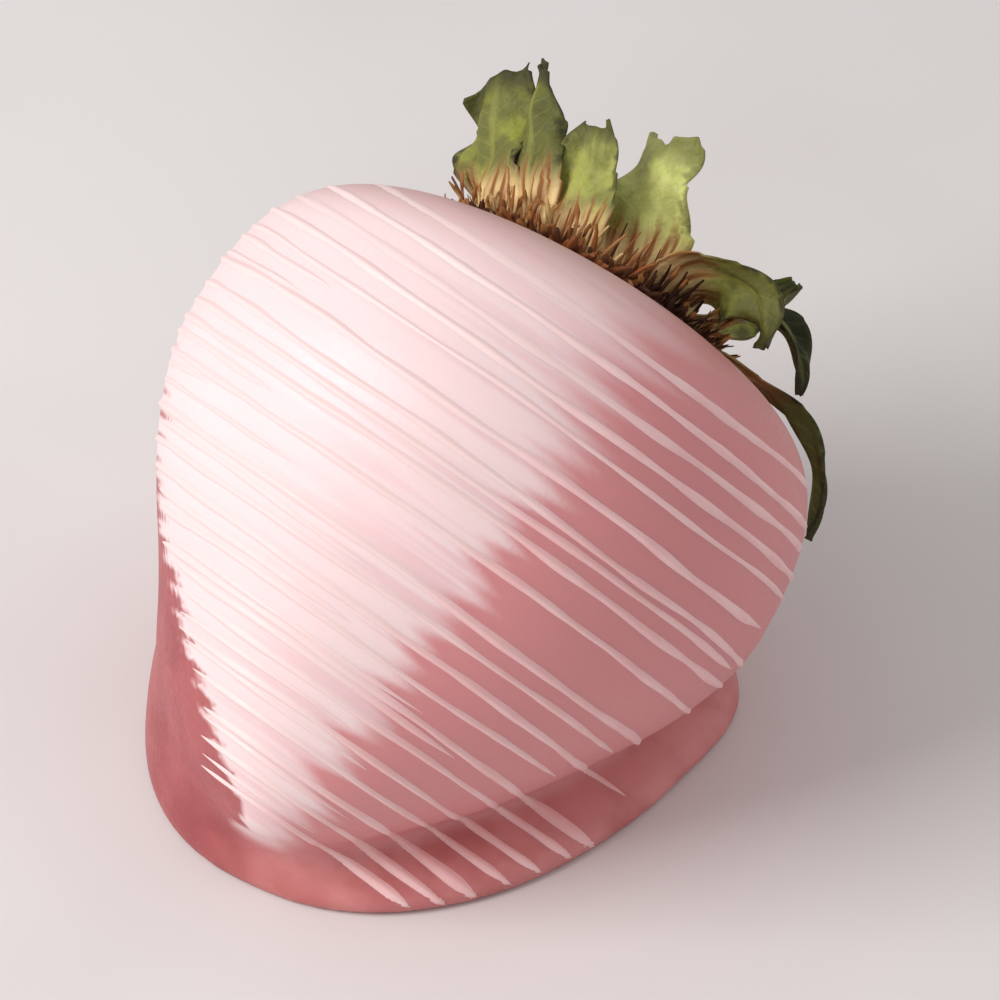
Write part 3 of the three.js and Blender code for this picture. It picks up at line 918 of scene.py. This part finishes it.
def sepal_spine(sepal):
    """The midline of a sepal with the directions along it, across its blade and out of its blade."""
    point = radial(math.radians(sepal.at)) * SEPAL_SEAT_RADIUS
    point[1] = CROWN_SEAT + SEPAL_THICKNESS
    spine = []
    for i in range(LEAF_STEPS + 1):
        share = i / LEAF_STEPS
        angle = lerp(*sepal.aim, share)
        slope = math.radians(lerp(*sepal.rise, share ** sepal.hold))
        along = radial(math.radians(angle)) * math.cos(slope) + ALONG_BERRY * math.sin(slope)
        across = np.cross(radial(math.radians(lerp(sepal.at, angle, share))), ALONG_BERRY)
        across = unit(across - along * (along @ across))
        turn = Matrix.Rotation(math.radians(sepal.turn * share), 3, Vector(along))
        across = np.array(turn @ Vector(across))
        spine.append((point.copy(), along, across, np.cross(across, along)))
        point = point + along * sepal.length / LEAF_STEPS
    return spine


def blade_width(share, tip):
    """Half-width share along a blade: a narrow foot, full from a third on, then pointed or blunt."""
    foot = 0.78 + 0.22 * math.sin(min(share / 0.4, 1) * math.pi / 2)
    rest = max((share - 0.35) / 0.65, 0)
    return foot * (tip + (1 - tip) * max(1 - rest ** 1.7, 0) ** 0.85)


def crumple(share, v, phase):
    """Small folds and dents over a dried blade, from -1 to 1."""
    return (0.5 * math.sin(7.0 * share + 2.3 * v + phase[0]) * math.sin(3.1 * v + phase[1])
            + 0.3 * math.sin(15.0 * share - 3.7 * v + phase[2])
            + 0.2 * math.sin(9.0 * v + 5.0 * share + phase[3]))


def toothed(share, side, phase, teeth):
    """The saw teeth of a blade's left or right edge, as a factor of its width."""
    saw = (share * teeth + phase[side] / 6.3) % 1
    return 1 + 0.10 * (saw - 0.5) * min(share / 0.2, 1) + 0.06 * math.sin(9 * share + phase[2 + side])


def blade_offset(sepal, share, v, opened, phase, teeth):
    """How far a place of the blade lies across from its midline, out of its plane and ahead of its row.
    share is the place along, v across from -1 to 1, and opened the share of the width at the foot."""
    side = 0 if v < 0 else 1
    half = sepal.width / 2 * max(blade_width(share, sepal.tip), 0.03) * toothed(share, side, phase, teeth)
    half *= opened
    bend = sepal.curl * (0.4 + 0.6 * share)
    lift = half / bend * (1 - math.cos(bend * v))
    wave = math.sin(2 * math.pi * 1.6 * share + phase[4 + side]) + 0.4 * math.sin(11 * share + phase[side])
    lift += sepal.ruffle * sepal.width / 2 * v * v * wave * min(share / 0.25, 1)
    lift += CRUMPLE_DEPTH * crumple(share, v, phase) * min(share / 0.2, 1)
    rib = -RIB_DEPTH * math.exp(-(v / 0.16) ** 2) * (1 - share)
    late = max(share - 0.6, 0) / 0.4
    ragged = sepal.tip * (0.45 * math.sin(3.0 * v + phase[2]) + 0.15 * math.sin(9.0 * v + phase[3]))
    ahead = sepal.skew * v * half * max(share - 0.5, 0) * 2 + ragged * late ** 3
    return half / bend * math.sin(bend * v), lift + rib, ahead


def sheet_faces(rows, columns):
    """Faces of a thin closed sheet: rows by columns of upper points, the same of lower points, and a
    border between them."""
    below = rows * columns
    grid = np.arange(below).reshape(rows, columns)
    faces = []
    for a, b, c, d in zip(grid[:-1, :-1].flat, grid[:-1, 1:].flat, grid[1:, 1:].flat, grid[1:, :-1].flat):
        faces.append([a, b, c, d])
        faces.append([d + below, c + below, b + below, a + below])
    border = [*grid[0], *grid[1:, -1], *grid[-1, -2::-1], *grid[-2:0:-1, 0]]
    for a, b in zip(border, border[1:] + border[:1]):
        faces.append([b, a, a + below, b + below])
    return faces


def build_sepal(name, sepal, material, foot_lift, draw):
    """A thin closed blade: cupped across, ruffled and toothed along its edges."""
    spine = sepal_foot(sepal.at, foot_lift) + sepal_spine(sepal)
    phase = [draw.uniform(0, 6.3) for _ in range(6)]
    teeth = draw.uniform(3.5, 5.5)
    top, bottom, leaf = [], [], []
    for i, (point, along, across, out) in enumerate(spine):
        share = max(i - FOOT_STEPS, 0) / LEAF_STEPS
        opened = min(lerp(FOOT_START, SEPAL_SEAT_RADIUS, i / FOOT_STEPS), SEPAL_SEAT_RADIUS)
        for v in np.linspace(-1, 1, LEAF_COLUMNS).tolist():
            offset = blade_offset(sepal, share, v, opened / SEPAL_SEAT_RADIUS, phase, teeth)
            spot = point + across * offset[0] + out * offset[1] + along * offset[2]
            thick = BLADE_THICKNESS / 2 * (1 - 0.45 * v * v) * (1 - 0.35 * share)
            top.append(spot + out * thick)
            bottom.append(spot - out * thick)
            leaf.append(((i - FOOT_STEPS) / LEAF_STEPS, v))
    points = np.array(top + bottom)
    faces = sheet_faces(len(spine), LEAF_COLUMNS)
    places = np.array([(*place, under) for under in (0, 1) for place in leaf])
    tones = np.tile((sepal.pale, sepal.dark, sepal.dry), (len(points), 1))
    make_piece(name + "_leaf", to_table(points), faces, material, [name],
               {"leaf": places, "tone": tones})


def build_sepals(material):
    draw = random.Random(5)
    for number, sepal in enumerate(SEPALS):
        build_sepal(f"sepal_{number + 1:02d}", sepal, material, FOOT_LIFTS[number % 3], draw)


# Dried threads between the fruit and the leaves: a dark fringe that lies out over the coat's rim, pale
# fibres that stand up to the leaves, a dense brown mat at their feet, and a few long ones. Length, radius,
# seat, the brownness on the crown's lit side, the brownness on its shaded side (withered) and rise are
# ranges.
# The darker brownness on the shaded side is painted shade; swing is how far a thread may turn aside, and flat
# and taper are shares.
ThreadKind = namedtuple("ThreadKind", "count length radius seat fresh withered rise swing flat taper")
THREADS = [
    ThreadKind(260, (1.4, 2.9), (0.2, 0.36), (9.8, 10.9), (0.6, 0.95), (0.9, 1.0), (-4, 24), 70, 0.6, 0.5),
    ThreadKind(300, (1.6, 4.4), (0.11, 0.24), (8.2, 9.6), (0.0, 0.6), (0.7, 1.0), (35, 88), 45, 0.7, 0.6),
    ThreadKind(330, (1.0, 2.5), (0.24, 0.42), (8.8, 9.9), (0.45, 0.9), (0.85, 1.0), (15, 88), 80, 0.7, 0.45),
    ThreadKind(70, (3.0, 5.4), (0.16, 0.34), (7.8, 8.8), (0.3, 0.9), (0.8, 1.0), (35, 80), 60, 0.5, 0.7),
]
THREAD_SIDES = 5
THREAD_STEPS = 8
HEADED_SHARE = 0.25
PAINTED_SHADE_STARTS = np.radians((66, -110))  # painted shade on the crown's threads starts at these angles round it
PAINTED_SHADE_FULL = np.radians((38, -70))  # and is full between these
THREAD_SINK = 0.35  # how deep the threads start


def thread_mesh(angle, kind, draw):
    """One dried stamen or fibre: a tapering, bent thread, now and then with a small head."""
    length = draw.uniform(*kind.length)
    rise = math.radians(draw.uniform(*kind.rise))
    swing = math.radians(draw.uniform(-kind.swing, kind.swing))
    bend = math.radians(draw.uniform(-50, 50))
    radius = draw.uniform(*kind.radius)
    fresh, withered = draw.uniform(*kind.fresh), draw.uniform(*kind.withered)
    place = (angle + math.pi) % (2 * math.pi) - math.pi
    # browner between these angles, on the crown's shaded side: painted shade
    brown = lerp(fresh, withered, np.prod(smooth_step(PAINTED_SHADE_STARTS, PAINTED_SHADE_FULL, place)))
    point = radial(angle) * draw.uniform(*kind.seat)
    point[1] = CROWN_SEAT - THREAD_SINK
    headed = draw.random() < HEADED_SHARE
    facing = radial(angle + draw.uniform(-0.6, 0.6))
    rings, values = [], []
    for i in range(THREAD_STEPS):
        share = i / (THREAD_STEPS - 1)
        slope = rise + bend * share ** 2
        along = radial(angle + swing * share) * math.cos(slope) + ALONG_BERRY * math.sin(slope)
        side = unit(np.cross(along, facing))
        other = np.cross(side, along)
        head = 1.0 if headed and share > 0.8 else 0.0
        thick = 0.22 if head and share < 0.95 else radius * (1 - kind.taper * share ** 1.5)
        for k in range(THREAD_SIDES):
            turn = 2 * math.pi * k / THREAD_SIDES
            rings.append(point + thick * (math.cos(turn) * side + kind.flat * math.sin(turn) * other))
            values.append((share, brown, head))
        last = point.copy()
        point = point + along * length / (THREAD_STEPS - 1)
    start = np.mean(rings[:THREAD_SIDES], axis=0)
    points = np.vstack([rings, [start, last + along * 0.1]])
    values += [(0, brown, 0), (1, brown, float(headed))]
    return points, lofted_faces(THREAD_STEPS, THREAD_SIDES), np.array(values)


def build_threads(material):
    """The ring of dried stamens and fibres between the fruit and the leaves."""
    draw = random.Random(21)
    parts = []
    for kind in THREADS:
        for i in range(kind.count):
            angle = 2 * math.pi * (i + draw.uniform(-0.5, 0.5)) / kind.count
            parts.append(thread_mesh(angle, kind, draw))
    points, faces, values = join_parts(parts)
    make_piece("stamens", to_table(points), faces, material, (), {"tone": values})


# ---- stage

def view_axes():
    """The camera's right, up and back directions."""
    right = -LEFT
    level_back = np.array([right[1], -right[0], 0])
    back = level_back * math.cos(CAMERA_ELEVATION) + (0, 0, math.sin(CAMERA_ELEVATION))
    return right, np.cross(back, right), back


def build_camera():
    right, up, back = view_axes()
    data = bpy.data.cameras.new("camera")
    data.sensor_width = 36.0
    data.lens = data.sensor_width * CAMERA_DISTANCE / VIEW_WIDTH
    data.clip_start, data.clip_end = 0.01, 10.0
    camera = bpy.data.objects.new("camera", data)
    place = RING_CENTRE + VIEW_SHIFT[0] * right + VIEW_SHIFT[1] * up + CAMERA_DISTANCE * back
    facing = Matrix(np.stack([right, up, back], 1)).to_4x4()
    camera.matrix_world = Matrix.Translation(Vector(place * MM)) @ facing
    show(camera)
    bpy.context.scene.camera = camera


def soft_light(name, towards, distance, size, power, tint=(1, 1, 1)):
    """A square softbox in the direction `towards` from the berry."""
    data = bpy.data.lights.new(name, "AREA")
    data.shape = "SQUARE"
    data.size = size * MM
    data.energy = power
    data.color = tint
    light = bpy.data.objects.new(name, data)
    direction = unit(towards)
    light.location = Vector((RING_CENTRE + direction * distance) * MM)
    light.rotation_mode = "QUATERNION"
    light.rotation_quaternion = Vector(direction).to_track_quat("Z", "Y")
    show(light)


def build_lights():
    right, up, back = view_axes()
    soft_light("key", -0.74 * right + 0.32 * up + 0.59 * back, distance=420, size=240, power=1.36,
               tint=(1.0, 0.99, 0.98))
    soft_light("fill", 0.75 * right + 0.65 * up - 0.1 * back, distance=500, size=400, power=0.3)
    world = bpy.data.worlds.new("studio")
    world.use_nodes = True
    background = world.node_tree.nodes["Background"].inputs
    background["Color"].default_value = AMBIENT_TINT
    background["Strength"].default_value = AMBIENT_STRENGTH
    bpy.context.scene.world = world


def build_floor():
    radius, segments = 1500.0 * MM, 64
    turns = [2 * math.pi * i / segments for i in range(segments)]
    points = [(radius * math.cos(turn), radius * math.sin(turn), 0) for turn in turns]
    mesh = bpy.data.meshes.new("floor")
    mesh.from_pydata(points, [], [list(range(segments))])
    shader = Shader("pale_floor")
    patch = shader.ramp(shader.noise(60, detail=3), 0.35, 0.65)
    shader.set(Base_Color=shader.mix(patch, *FLOOR_GREYS), Roughness=0.55)
    mesh.materials.append(shader.material)
    floor = bpy.data.objects.new("floor", mesh)
    show(floor)


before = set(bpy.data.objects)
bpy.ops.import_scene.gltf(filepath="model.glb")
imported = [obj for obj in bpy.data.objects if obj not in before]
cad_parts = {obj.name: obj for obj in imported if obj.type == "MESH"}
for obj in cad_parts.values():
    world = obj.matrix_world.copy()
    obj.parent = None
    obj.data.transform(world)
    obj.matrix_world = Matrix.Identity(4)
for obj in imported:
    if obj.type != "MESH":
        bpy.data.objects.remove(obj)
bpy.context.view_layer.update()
build_coat(chocolate_material())
build_drizzle(drizzle_material())
build_fruit(flesh_material())
build_calyx(calyx_material())
build_sepals(leaf_material())
build_threads(thread_material())
build_floor()
build_lights()
build_camera()
bpy.context.scene.view_settings.view_transform = "Standard"
